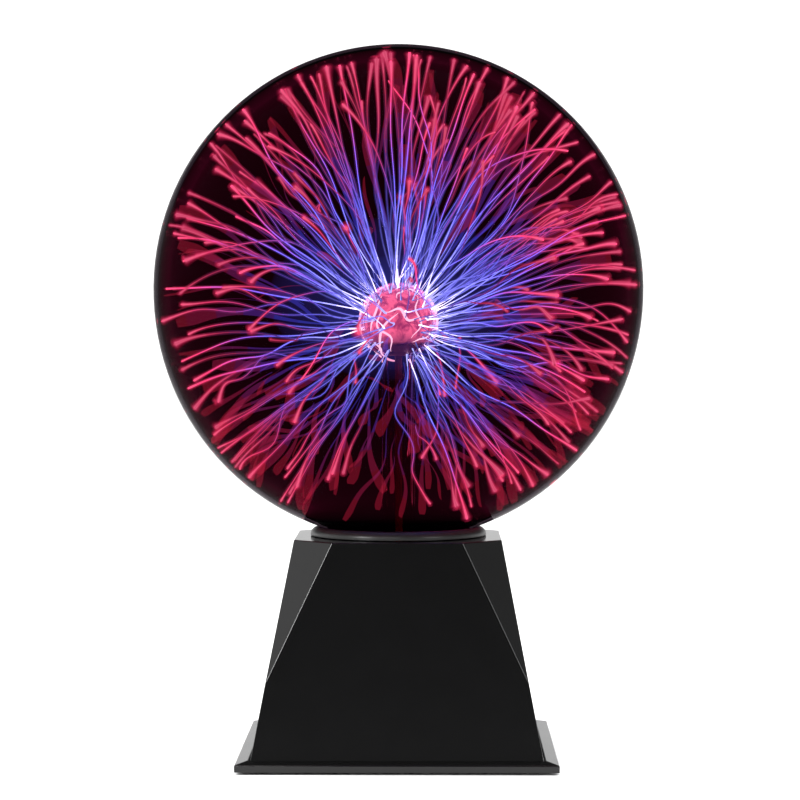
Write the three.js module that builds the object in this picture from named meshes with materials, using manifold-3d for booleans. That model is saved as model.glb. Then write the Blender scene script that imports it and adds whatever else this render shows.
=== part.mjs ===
// A plasma ball: a gas-filled glass globe with a central electrode, on a tapered square
// pedestal that holds a flyback high-voltage supply. Millimetres, +Z up, front towards -Y.
// The origin is on the surface that the rubber feet stand on, under the middle of the globe.
import * as THREE from "three";
import { mergeVertices } from "three/addons/utils/BufferGeometryUtils.js";
import Module from "manifold-3d";

const wasm = await Module();
wasm.setup();

// ---------------------------------------------------------------- driving dimensions
const GAP = 0.3; // between pieces that touch

const FOOT_HEIGHT = 1.7;
const FOOT_RADIUS = 5.5;
const FOOT_AT = 54; // x and y of each foot

const PLINTH_HALF = 64.5;
const PLINTH_UNDER_Z = 1.0;
const PLINTH_FLOOR_Z = 3.5;
const PLINTH_EDGE_Z = 3.9; // top of the plinth's upright edge
const PLINTH_RIDGE_Z = 5.2; // top of its bevelled border
const PLINTH_RIDGE_HALF = 59.2;

const BODY_FOOT_HALF = 59.1; // half width carried down to the plinth's underside
const BODY_TAPER = 0.187; // half width lost for each millimetre of height
const BODY_LOW_Z = PLINTH_FLOOR_Z + GAP;
const BODY_TOP_Z = 90.5;
const BODY_WALL = 2.4;
const BODY_ROOF = 3.0;
const FACET_TOP_HALF = 26.3; // half width of the front face's top edge
const FACET_TIP_Z = 34.8; // where each corner facet runs out to a point

const GLOBE_RADIUS = 101.5;
const GLOBE_Z = 192.5;
const GLOBE_WALL = 1.8;
const LOWER_STRETCH = 1.022; // the globe's lower half is this much taller than its upper half
const NECK_RADIUS = 31.0;
const NECK_FILLET = 3.0;
const NECK_LOW_Z = 80.7;
const NECK_FLANGE_Z = 83.7;
const NECK_FLANGE_RADIUS = 34.0;

const BULB_RADIUS = 16.0;
const BULB_Z = 178.6;
const BULB_WALL = 1.2;
const STEM_RADIUS = 7.0;
const STEM_WALL = 1.5;
const FLARE_RADIUS = 28.5;
const FLARE_Z = 83.0;

const BASE_SCREW_AT = 44; // x and y of the four screws that close the base
const CLAMP_SCREW_AT = 27.5; // x and y of the four screws that hold the neck clamp
const COLLAR_PIN_AT = 34.3; // radius of the collar's four locating pins

const BOARD = { x: 76, y: 60, z: 1.6, midY: -7, lowZ: 14 };
const BOARD_TOP_Z = BOARD.lowZ + BOARD.z;
const BOARD_SCREWS = [[-34, -33], [34, -33], [34, 19], [-34, 19]];

const REAR_Z = 22; // height of the controls on the rear wall
const SWITCH_X = -20;
const MICROPHONE_X = 1;
const JACK_X = 21;
const SWITCH_TRAVEL = 6;

const LEAD_RADIUS = 0.7;
const HV_LEAD_RADIUS = 1.5;

// ---------------------------------------------------------------- materials
const finish = (color, roughness, metalness = 0) =>
  new THREE.MeshStandardMaterial({ color, roughness, metalness });
const MATERIALS = {
  casing: finish(0x141414, 0.45),
  trim: finish(0x1a1a1a, 0.3),
  rubber: finish(0x0c0c0c, 0.9),
  glass: finish(0x120610, 0.05),
  electrode: finish(0xd04070, 0.6),
  steel: finish(0xb0b0b4, 0.35, 1),
  brass: finish(0xc09a50, 0.35, 1),
  aluminium: finish(0x9a9ca0, 0.4, 1),
  laminate: finish(0x1d5a34, 0.5),
  epoxy: finish(0x101012, 0.4),
  ferrite: finish(0x2c2c2e, 0.7),
  sleeve: finish(0x1c2a52, 0.4),
  copper: finish(0xa85a2c, 0.35, 1),
  film: finish(0xa03020, 0.4),
  ceramic: finish(0xc8b890, 0.6),
  red: finish(0xa01818, 0.5),
  black: finish(0x151515, 0.5),
  yellow: finish(0xb89018, 0.5),
  white: finish(0xb0b0a8, 0.5),
};

// ---------------------------------------------------------------- shape helpers
const SEGMENTS = { globe: 24, small: 12, screw: 8 };

// A manifold-3d solid from a closed three.js geometry.
function solid(geometry) {
  const bare = geometry.clone();
  bare.deleteAttribute("normal");
  bare.deleteAttribute("uv");
  const merged = mergeVertices(bare, 1e-4);
  return new wasm.Manifold(
    new wasm.Mesh({
      numProp: 3,
      vertProperties: new Float32Array(merged.attributes.position.array),
      triVerts: new Uint32Array(merged.index.array),
    }),
  );
}

// A three.js geometry from a manifold-3d solid.
function geometryOf(body) {
  const mesh = body.getMesh();
  const geometry = new THREE.BufferGeometry();
  geometry.setAttribute("position", new THREE.BufferAttribute(mesh.vertProperties, 3));
  geometry.setIndex(new THREE.BufferAttribute(mesh.triVerts, 1));
  geometry.computeVertexNormals();
  return geometry;
}

const join = (...parts) => geometryOf(parts.map(solid).reduce((a, b) => a.add(b)));
const cut = (base, ...tools) =>
  geometryOf(tools.map(solid).reduce((a, b) => a.subtract(b), solid(base)));
const common = (a, b) => geometryOf(solid(a).intersect(solid(b)));

// A solid of revolution about Z. Its [radius, z] profile runs anticlockwise, and starts and
// ends on the axis unless ring is true, which closes it on itself.
function turned(profile, segments, ring = false) {
  const points = profile.map(([r, z]) => new THREE.Vector2(r, z));
  if (ring) points.push(points[0].clone());
  return new THREE.LatheGeometry(points, segments).rotateX(Math.PI / 2);
}

function cylinder(radius, low, high, [x, y] = [0, 0], segments = SEGMENTS.small) {
  const profile = [[0, low], [radius, low], [radius, high], [0, high]];
  return turned(profile, segments).translate(x, y, 0);
}

// A box from its lowest corner to its highest.
function block(low, high) {
  const [a, b] = [new THREE.Vector3(...low), new THREE.Vector3(...high)];
  const size = b.clone().sub(a);
  const middle = a.add(b).multiplyScalar(0.5);
  return new THREE.BoxGeometry(size.x, size.y, size.z).translate(middle.x, middle.y, middle.z);
}

// A square frustum or plate: a four-sided solid of revolution. The profile's radii are half widths.
function squareTurned(profile, ring = false) {
  const scaled = profile.map(([half, z]) => [half * Math.SQRT2, z]);
  return turned(scaled, 4, ring).rotateZ(Math.PI / 4);
}

// A closed solid from its corners and the anticlockwise outlines of its flat faces.
function polyhedron(corners, faces) {
  const triangles = faces.flatMap((face) =>
    face.slice(2).flatMap((_, i) => [face[0], face[i + 1], face[i + 2]]),
  );
  const geometry = new THREE.BufferGeometry();
  geometry.setAttribute("position", new THREE.Float32BufferAttribute(corners.flat(), 3));
  geometry.setIndex(triangles);
  return geometry;
}

// Points of an arc in the radius-height plane. Angles are from the +radius direction, in degrees.
function arc(centreR, centreZ, radius, fromDeg, toDeg, steps, radiusZ = radius) {
  return Array.from({ length: steps + 1 }, (_, i) => {
    const angle = THREE.MathUtils.degToRad(fromDeg + ((toDeg - fromDeg) * i) / steps);
    return [centreR + radius * Math.cos(angle), centreZ + radiusZ * Math.sin(angle)];
  });
}

function bezier(from, control, to, steps) {
  const [a, b, c] = [from, control, to].map(([r, z]) => new THREE.Vector2(r, z));
  return new THREE.QuadraticBezierCurve(a, b, c).getPoints(steps).map((p) => [p.x, p.y]);
}

// A round wire along a smooth curve through the points.
function wire(points, radius, steps) {
  const sides = 8;
  const ring = Array.from({ length: sides }, (_, i) => {
    const angle = (2 * Math.PI * i) / sides;
    return new THREE.Vector2(radius * Math.cos(angle), radius * Math.sin(angle));
  });
  const path = new THREE.CatmullRomCurve3(points.map((p) => new THREE.Vector3(...p)), false, "centripetal");
  return new THREE.ExtrudeGeometry(new THREE.Shape(ring), { steps, extrudePath: path, bevelEnabled: false });
}

// The four corners (+,+), (-,+), (-,-), (+,-) of a square, each as a short name and its position.
const CORNER_NAMES = ["rear_right", "rear_left", "front_left", "front_right"];
const corners = (at) => [[at, at], [-at, at], [-at, -at], [at, -at]];

const part = new THREE.Group();

function add(name, geometry, material, parent = part) {
  const mesh = new THREE.Mesh(geometry, MATERIALS[material]);
  mesh.name = name;
  parent.add(mesh);
  return mesh;
}

// ---------------------------------------------------------------- casing
const bodyHalfAt = (z) => BODY_FOOT_HALF - BODY_TAPER * (z - PLINTH_UNDER_Z);
const WALL_LEAN = Math.atan(BODY_TAPER);

// The pedestal's outline between two heights: a square frustum whose four upright corners are
// each cut by a facet that is a triangle, widest at the top. inset moves every side face in.
function facetedBlock(low, high, inset = 0) {
  const topDiagonal = (bodyHalfAt(BODY_TOP_Z) + FACET_TOP_HALF) / Math.SQRT2;
  const tipDiagonal = bodyHalfAt(FACET_TIP_Z) * Math.SQRT2;
  const facetTaper = (tipDiagonal - topDiagonal) / (BODY_TOP_Z - FACET_TIP_Z);
  const facetInset = inset / Math.cos(Math.atan(facetTaper));
  const half = (z) => bodyHalfAt(z) - inset / Math.cos(WALL_LEAN);
  const facet = (z) => topDiagonal + facetTaper * (BODY_TOP_Z - z) - facetInset;
  const overhang = (z) => half(z) * Math.SQRT2 - facet(z);
  const tip = high - (overhang(high) * (high - low)) / (overhang(high) - overhang(low));

  const wide = half(high);
  const narrow = facet(high) * Math.SQRT2 - wide;
  const turn = ([x, y], k) => [[x, y], [-y, x], [-x, -y], [y, -x]][k];
  const ring = [0, 1, 2, 3];
  const points = [
    ...ring.map((k) => [...turn([half(low), half(low)], k), low]),
    ...ring.map((k) => [...turn([half(tip), half(tip)], k), tip]),
    ...ring.map((k) => [...turn([wide, narrow], k), high]),
    ...ring.map((k) => [...turn([narrow, wide], k), high]),
  ];
  const [foot, vertex, first, second] = [0, 4, 8, 12];
  const faces = [
    ...ring.map((k) => {
      const next = (k + 1) % 4;
      return [foot + k, foot + next, vertex + next, first + next, second + k, vertex + k];
    }),
    ...ring.map((k) => [vertex + k, second + k, first + k]),
    ring.flatMap((k) => [first + k, second + k]),
    [foot, foot + 3, foot + 2, foot + 1],
  ];
  return polyhedron(points, faces);
}

// A group whose origin is on the rear wall's outer face, with +Y out of the wall and +Z up it.
function rearFrame(x) {
  const frame = new THREE.Group();
  frame.position.set(x, bodyHalfAt(REAR_Z), REAR_Z);
  frame.rotation.x = WALL_LEAN;
  frame.updateMatrix();
  return frame;
}

const onRear = (geometry, x) => geometry.applyMatrix4(rearFrame(x).matrix);
const rearPoint = (x, local) => new THREE.Vector3(...local).applyMatrix4(rearFrame(x).matrix).toArray();

// A cylinder along Y, for the rear wall's frame.
const crossCylinder = (radius, low, high, [x, z] = [0, 0], segments = SEGMENTS.small) =>
  cylinder(radius, low, high, [0, 0], segments).rotateX(-Math.PI / 2).translate(x, 0, z);

const SWITCH_SLOT = { halfX: 5.5, halfZ: 2.3 };
const SWITCH_SCREW_X = 10;

function bodyShell() {
  const outer = facetedBlock(BODY_LOW_Z, BODY_TOP_Z);
  const inner = facetedBlock(BODY_LOW_Z - 1, BODY_TOP_Z - BODY_ROOF, BODY_WALL);
  const boss = { radius: 4.2, low: 9.3, high: 34, pilot: 1.65, pilotHigh: 21 };
  const hanger = { radius: 3.6, low: NECK_LOW_Z, high: BODY_TOP_Z - 2, pilot: 1.5, pilotHigh: 86.9 };

  const corner = corners(BASE_SCREW_AT).flatMap(([x, y]) => {
    const rib = block([0, -1, boss.low], [14, 1, boss.high]).rotateZ(Math.atan2(y, x)).translate(x, y, 0);
    return [cylinder(boss.radius, boss.low, boss.high, [x, y]), rib];
  });
  const hangers = corners(CLAMP_SCREW_AT).map((at) => cylinder(hanger.radius, hanger.low, hanger.high, at));
  const walls = join(cut(outer, inner), common(join(...corner), outer), ...hangers);

  const pilots = [
    ...corners(BASE_SCREW_AT).map((at) => cylinder(boss.pilot, boss.low - 1, boss.pilotHigh, at, SEGMENTS.screw)),
    ...corners(CLAMP_SCREW_AT).map((at) => cylinder(hanger.pilot, hanger.low - 1, hanger.pilotHigh, at, SEGMENTS.screw)),
  ];
  const pinHoles = [0, 90, 180, 270].map((deg) => {
    const angle = THREE.MathUtils.degToRad(deg);
    const at = [COLLAR_PIN_AT * Math.cos(angle), COLLAR_PIN_AT * Math.sin(angle)];
    return cylinder(1.3, BODY_TOP_Z - BODY_ROOF - 1, BODY_TOP_Z + 1, at, SEGMENTS.screw);
  });
  const through = BODY_WALL + 1;
  const openings = [
    cylinder(NECK_RADIUS + 1.3, BODY_TOP_Z - BODY_ROOF - 1, BODY_TOP_Z + 1, [0, 0], SEGMENTS.globe),
    onRear(block([-SWITCH_SLOT.halfX, -through, -SWITCH_SLOT.halfZ], [SWITCH_SLOT.halfX, 1, SWITCH_SLOT.halfZ]), SWITCH_X),
    ...[-1, 1].map((side) => onRear(crossCylinder(1.3, -through, 1, [side * SWITCH_SCREW_X, 0], SEGMENTS.screw), SWITCH_X)),
    onRear(crossCylinder(5.8, -through, 1), JACK_X),
    onRear(crossCylinder(1.0, -through, 1, [0, 0], SEGMENTS.screw), MICROPHONE_X),
  ];
  return cut(walls, ...pilots, ...pinHoles, ...openings);
}

function basePlate() {
  const border = squareTurned([
    [0, PLINTH_UNDER_Z],
    [PLINTH_HALF, PLINTH_UNDER_Z],
    [PLINTH_HALF, PLINTH_EDGE_Z],
    [PLINTH_RIDGE_HALF, PLINTH_RIDGE_Z],
    [PLINTH_RIDGE_HALF, PLINTH_FLOOR_Z],
    [0, PLINTH_FLOOR_Z],
  ]);
  const spigot = { half: 54.6, thickness: 1.6, high: 8 };
  const rim = squareTurned([
    [spigot.half - spigot.thickness, PLINTH_FLOOR_Z - 1],
    [spigot.half, PLINTH_FLOOR_Z - 1],
    [spigot.half, spigot.high],
    [spigot.half - spigot.thickness, spigot.high],
  ], true);
  const sunk = PLINTH_FLOOR_Z - 1; // pads and posts start inside the floor, so that they join it
  const pads = corners(BASE_SCREW_AT).map((at) => cylinder(5.2, sunk, 9, at));
  const posts = BOARD_SCREWS.map((at) => cylinder(3.2, sunk, BOARD.lowZ - GAP, at));

  const under = PLINTH_UNDER_Z - 1;
  const slots = [-18, -12, -6, 0, 6, 12, 18].map((x) => block([x - 1.1, -10, under], [x + 1.1, 16, PLINTH_FLOOR_Z + 1]));
  return cut(
    join(border, rim, ...pads, ...posts),
    ...corners(FOOT_AT).map((at) => cylinder(FOOT_RADIUS + GAP, under, FOOT_HEIGHT + GAP, at)),
    ...corners(BASE_SCREW_AT).map((at) => cylinder(3.4, under, 6, at)),
    ...corners(BASE_SCREW_AT).map((at) => cylinder(1.7, under, 10, at, SEGMENTS.screw)),
    ...BOARD_SCREWS.map((at) => cylinder(1.5, 6.5, BOARD.lowZ + 1, at, SEGMENTS.screw)),
    ...slots,
  );
}

// The dark trim ring round the globe's neck, with four pins that locate it in the roof.
function neckCollar() {
  const low = BODY_TOP_Z + GAP;
  const ring = turned([
    [31.7, low],
    [36.5, low],
    ...arc(33.0, low + 0.4, 3.5, 0, 90, 4, 3.1),
    [31.8, low + 2.0],
  ], SEGMENTS.globe, true);
  const pins = [0, 90, 180, 270].map((deg) => {
    const angle = THREE.MathUtils.degToRad(deg);
    return cylinder(1.0, 88, low + 1, [COLLAR_PIN_AT * Math.cos(angle), COLLAR_PIN_AT * Math.sin(angle)], SEGMENTS.screw);
  });
  return join(ring, ...pins);
}

// Rubber between the glass neck and the roof: a sleeve in the opening with a flange below it.
function neckGasket() {
  const [inner, sleeve, flange] = [NECK_RADIUS + GAP, NECK_RADIUS + 1, 35];
  const [low, flangeHigh, high] = [NECK_FLANGE_Z + GAP, BODY_TOP_Z - BODY_ROOF - GAP, BODY_TOP_Z - 0.1];
  const profile = [[inner, low], [flange, low], [flange, flangeHigh], [sleeve, flangeHigh], [sleeve, high], [inner, high]];
  return turned(profile, SEGMENTS.globe, true);
}

// The plate under the neck's flange that four screws pull up.
function neckClamp() {
  const [low, high] = [NECK_LOW_Z - GAP - 3, NECK_LOW_Z - GAP];
  const ring = turned([[26, low], [36.5, low], [36.5, high], [26, high]], SEGMENTS.globe, true);
  const ears = corners(CLAMP_SCREW_AT).map((at) => cylinder(4.6, low, high, at));
  const holes = corners(CLAMP_SCREW_AT).map((at) => cylinder(1.7, low - 1, high + 1, at, SEGMENTS.screw));
  return cut(join(ring, ...ears), ...holes);
}

const foot = () =>
  turned([[0, 0], [FOOT_RADIUS - 0.3, 0], [FOOT_RADIUS, 0.4], [FOOT_RADIUS, FOOT_HEIGHT], [0, FOOT_HEIGHT]], SEGMENTS.small);

// A pan-head screw whose head lies on z = 0, with its shank along -Z.
function screw(headRadius, headHeight, shankRadius, length) {
  return turned([
    [0, -length],
    [shankRadius, -length + shankRadius],
    [shankRadius, 0],
    [headRadius, 0],
    [headRadius, headHeight * 0.5],
    [headRadius * 0.6, headHeight],
    [0, headHeight],
  ], SEGMENTS.screw);
}

function casing() {
  add("body_shell", bodyShell(), "casing");
  add("base_plate", basePlate(), "casing");
  add("neck_collar", neckCollar(), "trim");
  add("neck_gasket", neckGasket(), "rubber");
  add("neck_clamp", neckClamp(), "casing");

  corners(FOOT_AT).forEach(([x, y], k) => {
    add(`foot_${CORNER_NAMES[k]}`, foot(), "rubber").position.set(x, y, 0);
  });
  corners(BASE_SCREW_AT).forEach(([x, y], k) => {
    const fastener = add(`base_screw_${CORNER_NAMES[k]}`, screw(3, 1.9, 1.35, 14), "steel");
    fastener.rotation.x = Math.PI;
    fastener.position.set(x, y, 5.7);
  });
  corners(CLAMP_SCREW_AT).forEach(([x, y], k) => {
    const fastener = add(`clamp_screw_${CORNER_NAMES[k]}`, screw(2.7, 1.6, 1.2, 9), "steel");
    fastener.rotation.x = Math.PI;
    fastener.position.set(x, y, NECK_LOW_Z - GAP - 3 - GAP);
  });
}

// ---------------------------------------------------------------- glass and electrode
function globeGlass() {
  const filletZ = GLOBE_Z - Math.sqrt((GLOBE_RADIUS + NECK_FILLET) ** 2 - (NECK_RADIUS + NECK_FILLET) ** 2);
  const meet = THREE.MathUtils.radToDeg(Math.atan2(filletZ - GLOBE_Z, NECK_RADIUS + NECK_FILLET));
  const innerRadius = GLOBE_RADIUS - GLOBE_WALL;
  const innerNeck = NECK_RADIUS - GLOBE_WALL;
  const innerMeet = -THREE.MathUtils.radToDeg(Math.acos(innerNeck / innerRadius));
  const steps = { above: 6, below: 5 };
  const stretched = (points) => points.map(([r, z]) => [r, Math.min(z, GLOBE_Z + LOWER_STRETCH * (z - GLOBE_Z))]);
  const profile = [
    ...arc(0, GLOBE_Z, innerRadius, 90, 0, steps.above),
    ...stretched(arc(0, GLOBE_Z, innerRadius, 0, innerMeet, steps.below)).slice(1),
    [innerNeck, NECK_LOW_Z],
    [NECK_FLANGE_RADIUS, NECK_LOW_Z],
    [NECK_FLANGE_RADIUS, NECK_FLANGE_Z],
    [NECK_RADIUS, NECK_FLANGE_Z],
    ...stretched(arc(NECK_RADIUS + NECK_FILLET, filletZ, NECK_FILLET, 180, meet + 180, 3)),
    ...stretched(arc(0, GLOBE_Z, GLOBE_RADIUS, meet, 0, steps.below)).slice(1),
    ...arc(0, GLOBE_Z, GLOBE_RADIUS, 0, 90, steps.above).slice(1),
  ];
  profile[0][0] = 0;
  profile[profile.length - 1][0] = 0;
  return turned(profile, SEGMENTS.globe);
}

// The re-entrant glass tube: a flared foot that seals the neck, and a bulb at the globe's middle.
function electrodeStem() {
  const [outer, inner] = [BULB_RADIUS, BULB_RADIUS - BULB_WALL];
  const bore = STEM_RADIUS - STEM_WALL;
  const start = -THREE.MathUtils.radToDeg(Math.acos(STEM_RADIUS / outer));
  const innerStart = -THREE.MathUtils.radToDeg(Math.acos(bore / inner));
  const bend = FLARE_Z + 12;
  const profile = [
    ...arc(0, BULB_Z, inner, 90, innerStart, 5),
    ...bezier([bore, bend], [bore, FLARE_Z - 2], [FLARE_RADIUS, FLARE_Z - 2], 4),
    ...bezier([FLARE_RADIUS, FLARE_Z], [STEM_RADIUS, FLARE_Z], [STEM_RADIUS, bend], 4),
    ...arc(0, BULB_Z, outer, start, 90, 5),
  ];
  profile[0][0] = 0;
  profile[profile.length - 1][0] = 0;
  return turned(profile, SEGMENTS.small);
}

// The conductive ball that fills the bulb, with a blind hole below for the high-voltage lead.
const LEAD_END_Z = BULB_Z - 8;
function electrodeBall() {
  const radius = BULB_RADIUS - BULB_WALL - 0.6;
  const hole = HV_LEAD_RADIUS + 0.5;
  const start = -THREE.MathUtils.radToDeg(Math.acos(hole / radius));
  const profile = [[0, LEAD_END_Z + GAP], [hole, LEAD_END_Z + GAP], ...arc(0, BULB_Z, radius, start, 90, 5)];
  profile[profile.length - 1][0] = 0;
  return turned(profile, SEGMENTS.small);
}

function glassware() {
  add("globe_glass", globeGlass(), "glass");
  add("electrode_stem", electrodeStem(), "glass");
  add("electrode_ball", electrodeBall(), "electrode");
  const tipHigh = FLARE_Z - 2 - GAP;
  const tip = turned([[0, tipHigh - 13], [1.2, tipHigh - 11], [2.6, tipHigh - 7], [3, tipHigh], [0, tipHigh]], SEGMENTS.screw);
  add("exhaust_tip", tip, "glass").position.set(17, 0, 0);
}

// ---------------------------------------------------------------- high-voltage supply
const CORE = { lowX: -28, highX: 8, lowY: -17, highY: -7, lowZ: 16, highZ: 58, limb: 9 };
const COIL = { lowX: -38.5, highX: -8.5, lowY: -27, highY: 3 };
const BOOT = [-33, -21]; // x and y of the high-voltage terminal
const SINK = { lowX: 23.7, plate: 3, finHighX: 36, lowY: -29, highY: -3, lowZ: BOARD_TOP_Z + 0.6, highZ: 46 };
const TRANSISTOR_Y = -16;
const TRANSISTOR_HOLE_Z = 36;
const ON_BOARD_Z = BOARD_TOP_Z + GAP;

function circuitBoard() {
  const slab = block([-BOARD.x / 2, BOARD.midY - BOARD.y / 2, BOARD.lowZ], [BOARD.x / 2, BOARD.midY + BOARD.y / 2, BOARD_TOP_Z]);
  return cut(slab, ...BOARD_SCREWS.map((at) => cylinder(1.6, BOARD.lowZ - 1, BOARD_TOP_Z + 1, at, SEGMENTS.screw)));
}

function flyback() {
  const window = block(
    [CORE.lowX + CORE.limb, CORE.lowY - 1, CORE.lowZ + CORE.limb],
    [CORE.highX - CORE.limb, CORE.highY + 1, CORE.highZ - CORE.limb],
  );
  const loop = block([CORE.lowX, CORE.lowY, CORE.lowZ], [CORE.highX, CORE.highY, CORE.highZ]);
  add("flyback_core", cut(loop, window), "ferrite");

  const [low, high] = [CORE.lowZ + CORE.limb + GAP, CORE.highZ - CORE.limb - GAP];
  const radius = 4;
  const outline = new THREE.Shape();
  outline.absarc(COIL.lowX + radius, COIL.lowY + radius, radius, Math.PI, 1.5 * Math.PI);
  outline.absarc(COIL.highX - radius, COIL.lowY + radius, radius, 1.5 * Math.PI, 2 * Math.PI);
  outline.absarc(COIL.highX - radius, COIL.highY - radius, radius, 0, 0.5 * Math.PI);
  outline.absarc(COIL.lowX + radius, COIL.highY - radius, radius, 0.5 * Math.PI, Math.PI);
  const potting = new THREE.ExtrudeGeometry(outline, { depth: high - low, bevelEnabled: false, curveSegments: 3 });
  const limbHole = block(
    [CORE.lowX - GAP, CORE.lowY - GAP, low - 1],
    [CORE.lowX + CORE.limb + GAP, CORE.highY + GAP, high + 1],
  );
  add("flyback_housing", cut(potting.translate(0, 0, low), limbHole), "epoxy");

  const bootLow = high + GAP;
  const boot = turned([
    [0, bootLow],
    [4, bootLow],
    [4, bootLow + 2.5],
    [2.8, bootLow + 9],
    [HV_LEAD_RADIUS + GAP, bootLow + 9],
    [HV_LEAD_RADIUS + GAP, bootLow + 3],
    [0, bootLow + 3],
  ], SEGMENTS.small);
  add("hv_boot", boot, "rubber").position.set(...BOOT, 0);

  const lead = wire([
    [...BOOT, bootLow + 3 + GAP],
    [...BOOT, 60],
    [-29, -18.5, 67],
    [-19, -12, 71],
    [-7, -4.5, 72.5],
    [-1, -0.6, 77],
    [0, 0, 84],
    [0, 0, 120],
    [0, 0, LEAD_END_Z],
  ], HV_LEAD_RADIUS, 26);
  add("hv_lead", lead, "red");
}

function heatSink() {
  const fins = 6;
  const fin = 1.5;
  const pitch = (SINK.highY - SINK.lowY - fin) / (fins - 1);
  const plateHighX = SINK.lowX + SINK.plate;
  const plate = block([SINK.lowX, SINK.lowY, SINK.lowZ], [plateHighX, SINK.highY, SINK.highZ]);
  const blades = Array.from({ length: fins }, (_, i) => {
    const y = SINK.lowY + i * pitch;
    return block([plateHighX - 1, y, SINK.lowZ], [SINK.finHighX, y + fin, SINK.highZ]);
  });
  const hole = cylinder(1.5, 0, 8, [0, 0], SEGMENTS.screw)
    .rotateY(Math.PI / 2)
    .translate(SINK.lowX - 1, TRANSISTOR_Y, TRANSISTOR_HOLE_Z);
  add("heat_sink", cut(join(plate, ...blades), hole), "aluminium");

  const face = SINK.lowX - GAP;
  const legs = [-2.5, 0, 2.5].map((y) =>
    block([face - 2.6, TRANSISTOR_Y + y - 0.5, ON_BOARD_Z], [face - 1.8, TRANSISTOR_Y + y + 0.5, 24]),
  );
  const moulding = block([face - 4.4, TRANSISTOR_Y - 5.1, 23], [face, TRANSISTOR_Y + 5.1, 32]);
  const tab = block([face - 1.3, TRANSISTOR_Y - 5.1, 31], [face, TRANSISTOR_Y + 5.1, 39]);
  const tabHole = cylinder(1.6, 0, 8, [0, 0], SEGMENTS.screw)
    .rotateY(Math.PI / 2)
    .translate(face - 4, TRANSISTOR_Y, TRANSISTOR_HOLE_Z);
  add("power_transistor", cut(join(moulding, tab, ...legs), tabHole), "epoxy");

  const fastener = add("transistor_screw", screw(2.6, 1.5, 1.2, 6), "steel");
  fastener.rotation.y = -Math.PI / 2;
  fastener.position.set(face - 1.3 - GAP, TRANSISTOR_Y, TRANSISTOR_HOLE_Z);
}

// An upright electrolytic capacitor standing on the board, with a waist groove near its foot.
function capacitor(name, radius, height, [x, y]) {
  const z = ON_BOARD_Z;
  const profile = [
    [0, z],
    [radius, z],
    [radius, z + 1.6],
    [radius - 0.6, z + 2.2],
    [radius, z + 2.8],
    [radius, z + height - 0.6],
    [radius - 0.6, z + height],
    [0, z + height],
  ];
  add(name, turned(profile, SEGMENTS.small), "sleeve").position.set(x, y, 0);
}

function smallComponents() {
  capacitor("main_capacitor", 7, 26, [26, 10]);
  capacitor("small_capacitor", 4, 12, [8, 11]);

  const coil = new THREE.TorusGeometry(6.2, 2.5, 8, 14);
  add("choke_coil", coil, "copper").position.set(-26, 8, ON_BOARD_Z + 2.5);

  const pins = [-3.8, -1.27, 1.27, 3.8].flatMap((x) =>
    [-1, 1].map((side) => block([x - 0.4, side * 3.9 - 0.3, 0], [x + 0.4, side * 3.9 + 0.3, 3])),
  );
  const chip = join(block([-4.8, -4.0, 1], [4.8, 4.0, 4.4]), ...pins);
  add("timer_chip", chip, "epoxy").position.set(-6, 10, ON_BOARD_Z);

  const film = block([-6.5, -2.6, 0], [6.5, 2.6, 11]);
  add("film_capacitor", film, "film").position.set(2, -33, ON_BOARD_Z);

  const barrel = turned([[0, -5.5], [2.2, -5.5], [2.5, -4.5], [2.5, 4.5], [2.2, 5.5], [0, 5.5]], SEGMENTS.screw)
    .rotateY(Math.PI / 2)
    .translate(0, 0, 4);
  const ends = [-1, 1].flatMap((side) => {
    const [near, far] = [side * 5, side * 8];
    const reach = block([Math.min(near, far), -0.4, 3.6], [Math.max(near, far), 0.4, 4.4]);
    const drop = block([far - 0.4, -0.4, 0], [far + 0.4, 0.4, 4.4]);
    return [reach, drop];
  });
  add("power_resistor", join(barrel, ...ends), "ceramic").position.set(9, -25, ON_BOARD_Z);
}

function supply() {
  add("circuit_board", circuitBoard(), "laminate");
  BOARD_SCREWS.forEach(([x, y], k) => {
    const name = `board_screw_${["front_left", "front_right", "rear_right", "rear_left"][k]}`;
    add(name, screw(2.7, 1.6, 1.2, 7), "steel").position.set(x, y, ON_BOARD_Z);
  });
  flyback();
  heatSink();
  smallComponents();
}

// ---------------------------------------------------------------- rear wall controls
const WALL_BACK = -BODY_WALL - GAP; // where pieces behind the rear wall start, in its frame

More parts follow.
